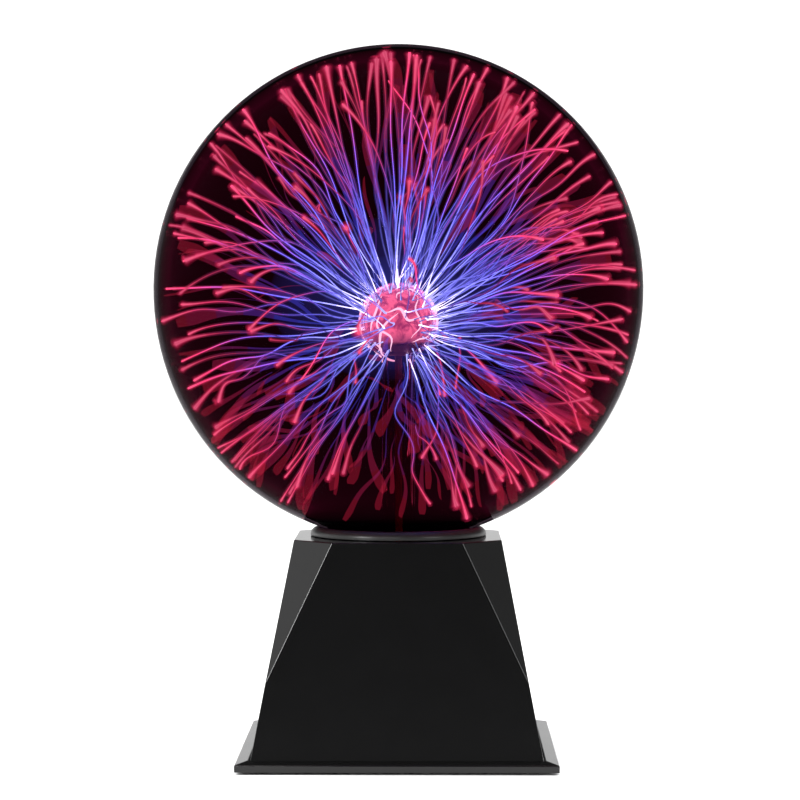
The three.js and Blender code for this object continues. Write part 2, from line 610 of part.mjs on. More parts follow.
// A three-position slide switch: a riveted frame behind the wall and a button through the slot.
function slideSwitch(frame) {
  const frameBack = WALL_BACK - 0.9;
  const bodyBack = WALL_BACK - 7.5;
  const carriage = { halfX: 3.5, halfZ: 2.5, low: -6.1, high: -3.9 };
  const plate = block([-12.5, frameBack, -4], [12.5, WALL_BACK, 4]);
  const can = block([-7.5, bodyBack, -4], [7.5, frameBack + 0.1, 4]);
  const terminals = [-4, 0, 4].map((x) => block([x - 0.6, bodyBack - 4, -0.3], [x + 0.6, bodyBack + 0.5, 0.3]));
  const track = block(
    [-carriage.halfX - SWITCH_TRAVEL / 2 - GAP, carriage.low - GAP, -carriage.halfZ - GAP],
    [carriage.halfX + SWITCH_TRAVEL / 2 + GAP, frameBack, carriage.halfZ + GAP],
  );
  const mouth = block([-SWITCH_SLOT.halfX, frameBack - 1, -2.2], [SWITCH_SLOT.halfX, 0, 2.2]);
  const holes = [-1, 1].map((side) => crossCylinder(1.3, frameBack - 1, 0, [side * SWITCH_SCREW_X, 0], SEGMENTS.screw));
  add("switch_housing", cut(join(plate, can, ...terminals), track, mouth, ...holes), "steel", frame);

  const base = block([-carriage.halfX, carriage.low, -carriage.halfZ], [carriage.halfX, carriage.high, carriage.halfZ]);
  const button = block([-2.1, carriage.high - 0.1, -1.9], [2.1, 2.6, 1.9]);
  const slider = add("switch_slider", join(base, button), "trim", frame);
  slider.position.x = -SWITCH_TRAVEL / 2;

  [-1, 1].forEach((side) => {
    const name = `switch_screw_${side < 0 ? "left" : "right"}`;
    const fastener = add(name, screw(2.1, 1.2, 1.0, 5.6), "steel", frame);
    fastener.rotation.x = -Math.PI / 2;
    fastener.position.set(side * SWITCH_SCREW_X, GAP, 0);
  });
}

// A threaded low-voltage socket with its centre pin and the nut that holds it in the wall.
function powerJack(frame) {
  const upright = (geometry) => geometry.rotateX(-Math.PI / 2);
  const body = turned([
    [1.4, -12],
    [5.4, -12],
    [5.4, GAP],
    [6.9, GAP],
    [6.9, 1.6],
    [6.5, 2.0],
    [3.1, 2.0],
    [3.1, -8],
    [1.4, -8],
  ], SEGMENTS.small, true);
  add("dc_jack_body", upright(body), "trim", frame);
  const pin = turned([[0, -14.5], [2.2, -14.5], [2.2, -12.3], [1.05, -12.3], [1.05, 0.6], [0.6, 1.0], [0, 1.0]], SEGMENTS.screw);
  add("dc_jack_pin", upright(pin), "brass", frame);
  const nut = cut(cylinder(8, WALL_BACK - 2.5, WALL_BACK, [0, 0], 6), cylinder(5.7, -9, 0));
  add("dc_jack_nut", upright(nut), "steel", frame);
}

// The microphone of the sound mode, in a rubber ring behind a pin hole.
function microphone(frame) {
  add("microphone_capsule", crossCylinder(4.8, -9.4, WALL_BACK - GAP), "aluminium", frame);
  const grommet = turned([[5.1, -8.6], [6.5, -8.6], [6.5, WALL_BACK], [5.1, WALL_BACK]], SEGMENTS.small, true);
  add("microphone_grommet", grommet.rotateX(-Math.PI / 2), "rubber", frame);
}

function rearControls() {
  const frames = [SWITCH_X, JACK_X, MICROPHONE_X].map(rearFrame);
  part.add(...frames);
  slideSwitch(frames[0]);
  powerJack(frames[1]);
  microphone(frames[2]);
}

// ---------------------------------------------------------------- low-voltage leads
// A lead from a terminal behind the rear wall to a pad on the board: it leaves straight in
// from the wall, sags, and drops upright onto its pad.
function boardLead(name, controlX, local, pad, material) {
  const [x, y, z] = rearPoint(controlX, local);
  const [padX, padY] = pad;
  const points = [
    [x, y, z],
    [x, y - 4, z - 0.8],
    [(x + padX) / 2, (y + padY) / 2 + 1, z + 1.5],
    [padX, padY + 1.2, BOARD_TOP_Z + 6],
    [padX, padY, ON_BOARD_Z],
  ];
  add(name, wire(points, LEAD_RADIUS, 12), material);
}

function leads() {
  const terminal = WALL_BACK - 7.5 - 4 - GAP - LEAD_RADIUS * 0.2;
  boardLead("switch_lead_on", SWITCH_X, [-4, terminal, 0], [-22, 20.5], "white");
  boardLead("switch_lead_sound", SWITCH_X, [4, terminal, 0], [-13, 20.5], "yellow");
  boardLead("power_lead_negative", JACK_X, [3.9, -12.5, 0], [17, 20.5], "black");
  boardLead("microphone_lead", MICROPHONE_X, [0, -9.9, 0], [3, 20.5], "white");

  const from = rearPoint(JACK_X, [0, -14.5 - GAP, 0]);
  const to = rearPoint(SWITCH_X, [0, terminal, 0]);
  const feed = [
    from,
    [from[0] - 1, from[1] - 4, from[2] + 1],
    [11, from[1] - 7, from[2] + 7],
    [-6, to[1] - 8, to[2] + 8],
    [to[0] + 1, to[1] - 4.5, to[2] + 1],
    to,
  ];
  add("power_lead_positive", wire(feed, LEAD_RADIUS, 18), "red");
}

casing();
glassware();
supply();
rearControls();
leads();

export default part;
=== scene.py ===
"""The looks of the plasma ball: casing, glass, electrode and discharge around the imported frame.

Lengths are in metres. The front of the object faces -Y, and its feet stand on z = 0.
"""

import math
import random

import bpy
from mathutils import Matrix, Quaternion, Vector


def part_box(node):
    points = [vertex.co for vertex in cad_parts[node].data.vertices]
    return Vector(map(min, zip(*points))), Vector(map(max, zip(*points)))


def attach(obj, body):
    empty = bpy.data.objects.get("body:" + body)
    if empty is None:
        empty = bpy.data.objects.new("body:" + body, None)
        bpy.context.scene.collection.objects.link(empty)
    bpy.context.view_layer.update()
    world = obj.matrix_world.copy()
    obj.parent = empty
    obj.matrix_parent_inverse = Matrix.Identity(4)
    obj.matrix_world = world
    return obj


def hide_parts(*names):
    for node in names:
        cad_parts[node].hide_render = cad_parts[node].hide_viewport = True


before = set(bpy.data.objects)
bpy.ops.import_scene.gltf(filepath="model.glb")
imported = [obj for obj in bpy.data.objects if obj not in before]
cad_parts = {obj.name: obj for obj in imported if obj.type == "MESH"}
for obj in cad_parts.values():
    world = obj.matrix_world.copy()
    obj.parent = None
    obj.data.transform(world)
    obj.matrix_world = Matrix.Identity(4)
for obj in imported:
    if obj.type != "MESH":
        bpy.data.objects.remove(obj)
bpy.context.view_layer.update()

MM = 0.001
UP = Vector((0, 0, 1))

# ---------------------------------------------------------------- places, from the frame
globe_low, globe_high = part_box("globe_glass")
GLOBE_RADIUS = (globe_high.x - globe_low.x) / 2
GLOBE_CENTRE = Vector((0, 0, globe_high.z - GLOBE_RADIUS))
GLOBE_WALL = 1.8 * MM
LOWER_STRETCH = 1.022  # the globe's lower half is this much taller than its upper half
NECK_RADIUS = 31 * MM
NECK_FILLET = 3 * MM
NECK_FLANGE_RADIUS = 34 * MM
NECK_FLANGE_HEIGHT = 3 * MM

ball_low, ball_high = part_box("electrode_ball")
BALL_RADIUS = (ball_high.x - ball_low.x) / 2
ELECTRODE = Vector((0, 0, ball_high.z - BALL_RADIUS))
stem_low, stem_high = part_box("electrode_stem")
BULB_RADIUS = stem_high.z - ELECTRODE.z
BULB_WALL = 1.2 * MM
STEM_RADIUS = 7 * MM
STEM_WALL = 1.5 * MM

shell_low, shell_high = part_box("body_shell")
base_low, base_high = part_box("base_plate")
BODY_TAPER = 0.187  # half width lost for each unit of height
BODY_WALL = 2.4 * MM
BODY_ROOF = 3 * MM
CASING_EDGE = 0.45 * MM  # width of the bevel on the casing's edges
FACET_TOP_HALF = 26.3 * MM  # half of the roof's straight edge between two corner facets
FACET_TIP_Z = 34.8 * MM  # where the corner facets run out
WALL_LEAN = math.atan(BODY_TAPER)
BODY_FOOT_HALF = shell_high.x
PLINTH_HALF = base_high.x
PLINTH_UNDER_Z = base_low.z
PLINTH_FLOOR = 2.5 * MM
PLINTH_RIM_HALF = 59.2 * MM  # where the plinth's bevelled border meets the pedestal
PLINTH_SIDE_HEIGHT = 2.9 * MM
PLINTH_RIM_HEIGHT = 4.2 * MM
FOOT_AT = 54 * MM  # x and y of the four feet
BASE_SCREW_AT = 44 * MM  # x and y of the four screws that close the base
CORNER_NAMES = ("rear_right", "rear_left", "front_left", "front_right")

COLLAR_TOP_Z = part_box("neck_collar")[1].z
COLLAR_HEIGHT = 3.5 * MM
COLLAR_RADIUS = 36.5 * MM
COLLAR_BORE = 31.7 * MM

# ---------------------------------------------------------------- camera, floor and light
CAMERA_AT = Vector((0.013, -1.234, 0.185))
CAMERA_AIM = Vector((-0.010, 0.9995, -0.031))  # direction of view
CAMERA_LENS = 133.6


def make_camera():
    data = bpy.data.cameras.new("camera")
    data.lens = CAMERA_LENS
    data.sensor_width = 36
    camera = bpy.data.objects.new("camera", data)
    camera.location = CAMERA_AT
    camera.rotation_euler = CAMERA_AIM.to_track_quat("-Z", "Y").to_euler()
    bpy.context.scene.collection.objects.link(camera)
    bpy.context.scene.camera = camera


def area_light(name, location, size, radiance):
    """A square softbox aimed at the middle of the object."""
    data = bpy.data.lights.new(name, "AREA")
    data.shape = "SQUARE"
    data.size = size
    data.energy = radiance * math.pi * size * size
    light = bpy.data.objects.new(name, data)
    light.location = location
    aim = Vector((0, 0, 0.12)) - light.location
    light.rotation_euler = aim.to_track_quat("-Z", "Y").to_euler()
    bpy.context.scene.collection.objects.link(light)


def make_world():
    """A white sweep to the camera and to matt surfaces.

    Reflections see it white near the horizon and dim above, so that the glossy black plastic stays dark.
    """
    world = bpy.data.worlds.new("studio")
    bpy.context.scene.world = world
    world.use_nodes = True
    nodes, links = world.node_tree.nodes, world.node_tree.links
    nodes.clear()
    coordinates = nodes.new("ShaderNodeTexCoord")
    split = nodes.new("ShaderNodeSeparateXYZ")
    links.new(coordinates.outputs["Generated"], split.inputs[0])
    band = nodes.new("ShaderNodeMapRange")
    band.inputs["From Min"].default_value = 0.15
    band.inputs["From Max"].default_value = 0.20
    band.inputs["To Min"].default_value = 1.0
    band.inputs["To Max"].default_value = 0.04
    links.new(split.outputs["Z"], band.inputs["Value"])
    path = nodes.new("ShaderNodeLightPath")
    mix = nodes.new("ShaderNodeMix")
    mix.inputs["A"].default_value = 1.35
    links.new(path.outputs["Is Glossy Ray"], mix.inputs["Factor"])
    links.new(band.outputs["Result"], mix.inputs["B"])
    sky = nodes.new("ShaderNodeBackground")
    sky.inputs["Color"].default_value = (1, 1, 1, 1)
    links.new(mix.outputs["Result"], sky.inputs["Strength"])
    output = nodes.new("ShaderNodeOutputWorld")
    links.new(sky.outputs[0], output.inputs["Surface"])
    world.cycles.sampling_method = "NONE"


def make_floor():
    half = 6
    mesh = bpy.data.meshes.new("floor")
    corners = [(-half, -half, 0), (half, -half, 0), (half, half, 0), (-half, half, 0)]
    mesh.from_pydata(corners, [], [(0, 1, 2, 3)])
    floor = bpy.data.objects.new("floor", mesh)
    bpy.context.scene.collection.objects.link(floor)
    material = new_material("floor_paint")
    shader = principled(material)
    shader.inputs["Base Color"].default_value = (0.93, 0.93, 0.93, 1)
    shader.inputs["Roughness"].default_value = 0.9
    mesh.materials.append(material)


# ---------------------------------------------------------------- materials
def new_material(name):
    material = bpy.data.materials.new(name)
    material.use_nodes = True
    return material


def principled(material):
    return material.node_tree.nodes["Principled BSDF"]


def textured(name, colour, roughness, metallic=0.0, grain=900, spread=0.18, bump=0.05, coat=0.0,
             specular=0.5):
    """A finish with a fine grain: colour and roughness wander with a noise, and a finer one makes the bump.

    grain is the noise's scale in cells per metre, and spread how far colour and roughness wander.
    """
    material = new_material(name)
    tree, shader = material.node_tree, principled(material)
    place = tree.nodes.new("ShaderNodeTexCoord")

    broad = tree.nodes.new("ShaderNodeTexNoise")
    broad.inputs["Scale"].default_value = grain / 18
    broad.inputs["Detail"].default_value = 4
    tree.links.new(place.outputs["Object"], broad.inputs["Vector"])

    tone = tree.nodes.new("ShaderNodeMix")
    tone.data_type = "RGBA"
    low, high = 1 - spread, 1 + spread
    tone.inputs[6].default_value = (*[min(1, c * low) for c in colour], 1)
    tone.inputs[7].default_value = (*[min(1, c * high) for c in colour], 1)
    tree.links.new(broad.outputs["Fac"], tone.inputs[0])
    tree.links.new(tone.outputs[2], shader.inputs["Base Color"])

    gloss = tree.nodes.new("ShaderNodeMapRange")
    gloss.inputs["To Min"].default_value = max(0.02, roughness * (1 - spread))
    gloss.inputs["To Max"].default_value = min(1, roughness * (1 + spread))
    tree.links.new(broad.outputs["Fac"], gloss.inputs["Value"])
    tree.links.new(gloss.outputs["Result"], shader.inputs["Roughness"])

    fine = tree.nodes.new("ShaderNodeTexNoise")
    fine.inputs["Scale"].default_value = grain
    fine.inputs["Detail"].default_value = 3
    tree.links.new(place.outputs["Object"], fine.inputs["Vector"])
    relief = tree.nodes.new("ShaderNodeBump")
    relief.inputs["Strength"].default_value = bump
    relief.inputs["Distance"].default_value = 0.2 * MM
    tree.links.new(fine.outputs["Fac"], relief.inputs["Height"])
    tree.links.new(relief.outputs["Normal"], shader.inputs["Normal"])

    shader.inputs["Metallic"].default_value = metallic
    shader.inputs["Coat Weight"].default_value = coat
    shader.inputs["Specular IOR Level"].default_value = specular
    return material


def glass(name, tint, ior, roughness=0.0):
    material = new_material(name)
    shader = principled(material)
    shader.inputs["Base Color"].default_value = (*tint, 1)
    shader.inputs["Transmission Weight"].default_value = 1
    shader.inputs["IOR"].default_value = ior
    shader.inputs["Roughness"].default_value = roughness
    return material


def glow(name, light, alpha=1.0, volume=None):
    """Glowing gas. light is its radiance in each colour.

    A volume, in the same units per metre, fades out at the piece's sides as real gas does.
    """
    material = new_material(name)
    tree, shader = material.node_tree, principled(material)
    peak = max(light)
    shader.inputs["Base Color"].default_value = (0, 0, 0, 1)
    shader.inputs["Specular IOR Level"].default_value = 0
    shader.inputs["Roughness"].default_value = 1
    shader.inputs["Emission Color"].default_value = (*[c / peak for c in light], 1)
    shader.inputs["Emission Strength"].default_value = peak
    shader.inputs["Alpha"].default_value = alpha
    if volume:
        source = tree.nodes.new("ShaderNodeEmission")
        source.inputs["Color"].default_value = (*[c / max(volume) for c in volume], 1)
        source.inputs["Strength"].default_value = max(volume)
        tree.links.new(source.outputs[0], tree.nodes["Material Output"].inputs["Volume"])
    material.cycles.emission_sampling = "NONE"
    return material


# ---------------------------------------------------------------- mesh helpers
def mesh_object(name, vertices, faces, smooth=True):
    mesh = bpy.data.meshes.new(name)
    mesh.from_pydata([tuple(v) for v in vertices], [], faces)
    if smooth:
        mesh.shade_smooth()
    mesh.update()
    piece = bpy.data.objects.new(name, mesh)
    bpy.context.scene.collection.objects.link(piece)
    return piece


def arc(centre_r, centre_z, radius, start, end, steps, radius_z=None):
    """Points (r, z) on an arc, with angles in degrees from the outward direction."""
    tall = radius if radius_z is None else radius_z
    points = []
    for i in range(steps + 1):
        angle = math.radians(start + (end - start) * i / steps)
        points.append((centre_r + radius * math.cos(angle), centre_z + tall * math.sin(angle)))
    return points


def rounded(profile, radius, steps=4):
    """The closed profile with every corner rounded by a short curve."""
    result = []
    count = len(profile)
    for i, corner in enumerate(profile):
        here = Vector(corner)
        before = Vector(profile[i - 1]) - here
        after = Vector(profile[(i + 1) % count]) - here
        reach = min(radius, before.length * 0.45, after.length * 0.45)
        start, end = here + before.normalized() * reach, here + after.normalized() * reach
        for k in range(steps + 1):
            t = k / steps
            result.append(tuple((1 - t) ** 2 * start + 2 * t * (1 - t) * here + t * t * end))
    return result


def turned(name, profile, segments=96, ring=False):
    """A solid of revolution about Z. Its profile runs from axis to axis, or closes on itself as a ring."""
    vertices, faces, rows = [], [], []
    for r, z in profile:
        if r < 1e-7:
            rows.append([len(vertices)] * segments)
            vertices.append((0, 0, z))
            continue
        rows.append(range(len(vertices), len(vertices) + segments))
        for k in range(segments):
            angle = 2 * math.pi * k / segments
            vertices.append((r * math.cos(angle), r * math.sin(angle), z))
    pairs = list(zip(rows, rows[1:])) + ([(rows[-1], rows[0])] if ring else [])
    for low, high in pairs:
        for k in range(segments):
            after = (k + 1) % segments
            corners = [low[k], low[after], high[after], high[k]]
            face = list(dict.fromkeys(corners))
            if len(face) > 2:
                faces.append(face)
    return mesh_object(name, vertices, faces)


def box_object(name, low, high):
    x, y, z = zip(low, high)
    vertices = [(x[i], y[j], z[k]) for k in (0, 1) for j in (0, 1) for i in (0, 1)]
    faces = [(0, 2, 3, 1), (4, 5, 7, 6), (0, 1, 5, 4), (2, 6, 7, 3), (0, 4, 6, 2), (1, 3, 7, 5)]
    return mesh_object(name, vertices, faces, smooth=False)


def bevelled(piece, width, segments=3, angle=20):
    modifier = piece.modifiers.new("edges", "BEVEL")
    modifier.width = width
    modifier.segments = segments
    modifier.limit_method = "ANGLE"
    modifier.angle_limit = math.radians(angle)
    modifier.harden_normals = True
    return piece


def settle(piece):
    """Applies every modifier of a piece."""
    graph = bpy.context.evaluated_depsgraph_get()
    mesh = bpy.data.meshes.new_from_object(piece.evaluated_get(graph))
    piece.modifiers.clear()
    piece.data = mesh


def carve(piece, cutters, operation="DIFFERENCE"):
    """Cuts the cutters out of the piece, or joins them to it, and removes them."""
    for cutter in cutters:
        modifier = piece.modifiers.new("carve", "BOOLEAN")
        modifier.operation = operation
        modifier.solver = "EXACT"
        modifier.object = cutter
    settle(piece)
    for cutter in cutters:
        bpy.data.objects.remove(cutter)


def flat_and_round(piece, angle=30):
    """Smooth shading that keeps edges sharper than the angle, and keeps wide faces flat."""
    mesh = piece.data
    mesh.shade_smooth()
    mesh.set_sharp_from_angle(angle=math.radians(angle))
    weighted = piece.modifiers.new("weighted", "WEIGHTED_NORMAL")
    weighted.weight = 100
    weighted.keep_sharp = True
    return piece


def finish_piece(piece, material, slot, *nodes, body="casing"):
    piece.data.materials.clear()
    piece.data.materials.append(material)
    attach(piece, body)
    if nodes:
        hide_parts(*nodes)


# ---------------------------------------------------------------- casing
def body_half(z):
    return BODY_FOOT_HALF - BODY_TAPER * (z - shell_low.z)


def faceted_block(name, low, high, inset=0.0):
    """The pedestal between two heights: a square frustum with four corner facets, widest at the top."""
    top = shell_high.z
    top_diagonal = (body_half(top) + FACET_TOP_HALF) / math.sqrt(2)
    tip_diagonal = body_half(FACET_TIP_Z) * math.sqrt(2)
    facet_taper = (tip_diagonal - top_diagonal) / (top - FACET_TIP_Z)

    def half(z):
        return body_half(z) - inset / math.cos(WALL_LEAN)

    def facet(z):
        return top_diagonal + facet_taper * (top - z) - inset / math.cos(math.atan(facet_taper))

    def overhang(z):
        return half(z) * math.sqrt(2) - facet(z)

    tip = high - overhang(high) * (high - low) / (overhang(high) - overhang(low))
    wide = half(high)
    narrow = facet(high) * math.sqrt(2) - wide
    quarter = [Matrix.Rotation(math.pi / 2 * k, 3, "Z") for k in range(4)]
    vertices = [q @ Vector((half(low), half(low), low)) for q in quarter]
    vertices += [q @ Vector((half(tip), half(tip), tip)) for q in quarter]
    vertices += [q @ Vector((wide, narrow, high)) for q in quarter]
    vertices += [q @ Vector((narrow, wide, high)) for q in quarter]
    foot, vertex, first, second = 0, 4, 8, 12
    faces = []
    for k in range(4):
        after = (k + 1) % 4
        faces.append((foot + k, foot + after, vertex + after, first + after, second + k, vertex + k))
        faces.append((vertex + k, second + k, first + k))
    faces.append([corner for k in range(4) for corner in (first + k, second + k)])
    faces.append((foot + 3, foot + 2, foot + 1, foot))
    return mesh_object(name, vertices, faces, smooth=False)


def rear_matrix(x, z):
    """A frame on the rear wall's outer face: +Y out of the wall and +Z up it."""
    return Matrix.Translation((x, body_half(z), z)) @ Matrix.Rotation(WALL_LEAN, 4, "X")


REAR_Z = 22 * MM
SWITCH_X = -20 * MM
JACK_X = 21 * MM
MICROPHONE_X = 1 * MM
REAR_CUT = 4 * MM  # how deep the rear wall's openings are cut


def rear_cylinder(name, radius, low, high, x):
    """A cylinder through the rear wall, from depth low to depth high in the wall's frame."""
    peg = turned(name, [(0, low), (radius, low), (radius, high), (0, high)], 48)
    peg.data.transform(rear_matrix(x, REAR_Z) @ Matrix.Rotation(-math.pi / 2, 4, "X"))
    return peg


def make_body(material):
    body = bevelled(faceted_block("pedestal", shell_low.z, shell_high.z), CASING_EDGE, 4)
    inner = faceted_block("hollow", shell_low.z - MM, shell_high.z - BODY_ROOF, BODY_WALL)
    slot = box_object("slot", (-5.5 * MM, -REAR_CUT, -2.3 * MM), (5.5 * MM, 1 * MM, 2.3 * MM))
    slot.data.transform(rear_matrix(SWITCH_X, REAR_Z))
    radius, low, high = NECK_RADIUS + 1.3 * MM, shell_high.z - 5 * MM, shell_high.z + MM
    neck_hole = turned("neck_hole", [(0, low), (radius, low), (radius, high), (0, high)])
    holes = [
        rear_cylinder("jack_hole", 5.8 * MM, -REAR_CUT, MM, JACK_X),
        rear_cylinder("sound_hole", 1.0 * MM, -REAR_CUT, MM, MICROPHONE_X),
    ]
    carve(body, [inner, slot, neck_hole, *holes])
    flat_and_round(body)
    finish_piece(body, material, "casing", "body_shell")


def square_turned(name, profile):
    """A solid of revolution with four sides. The profile's radii are half widths."""
    piece = turned(name, [(r * math.sqrt(2), z) for r, z in profile], 4)
    piece.data.transform(Matrix.Rotation(math.pi / 4, 4, "Z"))
    piece.data.shade_flat()
    return piece


def corner_points(at):
    """x and y of the four corners, in the order of CORNER_NAMES."""
    return [(at, at), (-at, at), (-at, -at), (at, -at)]


def make_plinth(material):
    under = PLINTH_UNDER_Z
    plinth = square_turned("plinth", [
        (0, under),
        (PLINTH_HALF, under),
        (PLINTH_HALF, under + PLINTH_SIDE_HEIGHT),
        (PLINTH_RIM_HALF, under + PLINTH_RIM_HEIGHT),
        (PLINTH_RIM_HALF, under + PLINTH_FLOOR),
        (0, under + PLINTH_FLOOR),
    ])
    bevelled(plinth, CASING_EDGE, 6, 12)
    settle(plinth)
    cutters = []
    for at in range(-18, 19, 6):
        low, high = ((at - 1.1) * MM, -10 * MM, under - MM), ((at + 1.1) * MM, 16 * MM, 6 * MM)
        cutters.append(box_object("vent", low, high))
    for at, radius, top in ((FOOT_AT, 5.8 * MM, 2 * MM), (BASE_SCREW_AT, 3.4 * MM, 5 * MM)):
        for x, y in corner_points(at):
            recess = turned("recess", [(0, under - MM), (radius, under - MM), (radius, top), (0, top)], 48)
            recess.data.transform(Matrix.Translation((x, y, 0)))
            cutters.append(recess)
    carve(plinth, cutters)
    flat_and_round(plinth, 16)
    finish_piece(plinth, material, "casing", "base_plate")


def make_feet(material):
    radius = 5.5 * MM
    profile = [(0, 0.15 * MM), (3.6 * MM, 0.15 * MM), (4.0 * MM, 0), (radius - 0.5 * MM, 0)]
    profile += arc(radius - 0.4 * MM, 0.4 * MM, 0.4 * MM, -80, 0, 4)
    profile += [(radius, 1.7 * MM), (0, 1.7 * MM)]
    for corner, (x, y) in zip(CORNER_NAMES, corner_points(FOOT_AT)):
        foot = turned(f"rubber_foot_{corner}", profile, 48)
        foot.data.transform(Matrix.Translation((x, y, 0)))
        flat_and_round(foot)
        finish_piece(foot, material, "rubber", f"foot_{corner}")


def make_collar(material):
    low = COLLAR_TOP_Z - COLLAR_HEIGHT
    profile = rounded([
        (COLLAR_BORE, low),
        (COLLAR_RADIUS, low),
        (COLLAR_RADIUS, low + 0.4 * MM),
    ], 0.2 * MM, 2)[:-1]
    profile += arc(33.0 * MM, low + 0.4 * MM, 3.5 * MM, 0, 90, 14, 3.1 * MM)
    profile += [(32.8 * MM, low + 3.3 * MM), (31.8 * MM, low + 2.0 * MM)]
    collar = turned("collar_ring", profile, 160, ring=True)
    flat_and_round(collar, 40)
    finish_piece(collar, material, "trim", "neck_collar")


# ---------------------------------------------------------------- glass and electrode
def stretched(profile):
    """The profile with its part below the globe's centre drawn down as the globe's lower half is."""
    middle = GLOBE_CENTRE.z
    return [(r, min(z, middle + LOWER_STRETCH * (z - middle))) for r, z in profile]


def make_globe():
    reach = NECK_RADIUS + NECK_FILLET
    fillet_z = GLOBE_CENTRE.z - math.sqrt((GLOBE_RADIUS + NECK_FILLET) ** 2 - reach ** 2)
    meet = math.degrees(math.atan2(fillet_z - GLOBE_CENTRE.z, reach))
    inner = GLOBE_RADIUS - GLOBE_WALL
    inner_neck = NECK_RADIUS - GLOBE_WALL
    inner_meet = -math.degrees(math.acos(inner_neck / inner))
    low = globe_low.z
    flange = rounded([
        (inner_neck, low),
        (NECK_FLANGE_RADIUS, low),
        (NECK_FLANGE_RADIUS, low + NECK_FLANGE_HEIGHT),
        (NECK_RADIUS, low + NECK_FLANGE_HEIGHT),
    ], 0.8 * MM)
    profile = stretched(arc(0, GLOBE_CENTRE.z, inner, 90, inner_meet, 56))
    profile += flange
    profile += stretched(arc(reach, fillet_z, NECK_FILLET, 180, meet + 180, 8))
    profile += stretched(arc(0, GLOBE_CENTRE.z, GLOBE_RADIUS, meet, 90, 56))[1:]
    profile[0] = (0, profile[0][1])
    profile[-1] = (0, profile[-1][1])
    globe = turned("glass_globe", profile, 160)
    finish_piece(globe, glass("smoked_glass", GLASS_TINT, 1.012), "globe_glass", "globe_glass")


def bezier(a, b, c, steps):
    points = []
    for i in range(steps + 1):
        t = i / steps
        points.append(tuple((1 - t) ** 2 * Vector(a) + 2 * t * (1 - t) * Vector(b) + t * t * Vector(c)))
    return points


def make_stem():
    """The re-entrant tube, with its flare at the neck and its bulb at the top."""
    inner, bore = BULB_RADIUS - BULB_WALL, STEM_RADIUS - STEM_WALL
    start = -math.degrees(math.acos(STEM_RADIUS / BULB_RADIUS))
    inner_start = -math.degrees(math.acos(bore / inner))
    flare_r, flare_z = stem_high.x, stem_low.z + 2 * MM
    bend = flare_z + 12 * MM
    profile = arc(0, ELECTRODE.z, inner, 90, inner_start, 32)
    profile += bezier((bore, bend), (bore, stem_low.z), (flare_r, stem_low.z), 14)
    profile += bezier((flare_r, flare_z), (STEM_RADIUS, flare_z), (STEM_RADIUS, bend), 14)
    profile += arc(0, ELECTRODE.z, BULB_RADIUS, start, 90, 32)
    profile[0] = (0, profile[0][1])
    profile[-1] = (0, profile[-1][1])
    stem = turned("glass_stem", profile, 64)
    finish_piece(stem, glass("stem_glass", (0.86, 0.62, 0.72), 1.2), "stem_glass", "electrode_stem")


def glowing_wool(name):
    """Packed conductive wool, lit from within in mottled pink and red, and dim towards the stem."""
    material = new_material(name)
    tree, shader = material.node_tree, principled(material)
    place = tree.nodes.new("ShaderNodeTexCoord")
    wool = tree.nodes.new("ShaderNodeTexNoise")
    wool.inputs["Scale"].default_value = 210
    wool.inputs["Detail"].default_value = 6
    wool.inputs["Distortion"].default_value = 1.4
    tree.links.new(place.outputs["Object"], wool.inputs["Vector"])
    ramp = tree.nodes.new("ShaderNodeValToRGB")
    ramp.color_ramp.elements[0].position = 0.40
    ramp.color_ramp.elements[0].color = (0.22, 0.01, 0.05, 1)
    ramp.color_ramp.elements[1].position = 0.60
    ramp.color_ramp.elements[1].color = (1.0, 0.26, 0.30, 1)
    tree.links.new(wool.outputs["Fac"], ramp.inputs["Fac"])
    split = tree.nodes.new("ShaderNodeSeparateXYZ")
    tree.links.new(place.outputs["Object"], split.inputs[0])
    fade = tree.nodes.new("ShaderNodeMapRange")
    fade.inputs["From Min"].default_value = ELECTRODE.z - 9 * MM
    fade.inputs["From Max"].default_value = ELECTRODE.z - 3 * MM
    fade.inputs["To Min"].default_value = 0.04
    tree.links.new(split.outputs["Z"], fade.inputs["Value"])
    dim = tree.nodes.new("ShaderNodeMix")
    dim.data_type = "RGBA"
    dim.blend_type = "MULTIPLY"
    dim.inputs["Factor"].default_value = 1
    tree.links.new(ramp.outputs["Color"], dim.inputs[6])
    tree.links.new(fade.outputs["Result"], dim.inputs[7])
    tree.links.new(dim.outputs[2], shader.inputs["Emission Color"])
    shader.inputs["Emission Strength"].default_value = 52
    shader.inputs["Base Color"].default_value = (0.4, 0.2, 0.22, 1)
    shader.inputs["Metallic"].default_value = 0.6
    shader.inputs["Roughness"].default_value = 0.5
    material.cycles.emission_sampling = "NONE"
    return material


def make_electrode():
    hole = 2 * MM
    start = -math.degrees(math.acos(hole / BALL_RADIUS))
    hole_top = ELECTRODE.z - 7.7 * MM
    profile = [(0, hole_top), (hole, hole_top)] + arc(0, ELECTRODE.z, BALL_RADIUS, start, 90, 32)
    profile[-1] = (0, profile[-1][1])
    ball = turned("electrode_wool", profile, 64)
    finish_piece(ball, glowing_wool("glowing_wool"), "electrode", "electrode_ball")


# ---------------------------------------------------------------- discharge
GLASS_TINT = (0.022, 0.014, 0.020)  # share of each colour that one wall of the globe lets through
REACH = GLOBE_RADIUS - GLOBE_WALL - 0.7 * MM  # how far from the globe's centre a streamer's foot is
ZONES = 16  # steps of colour along a streamer

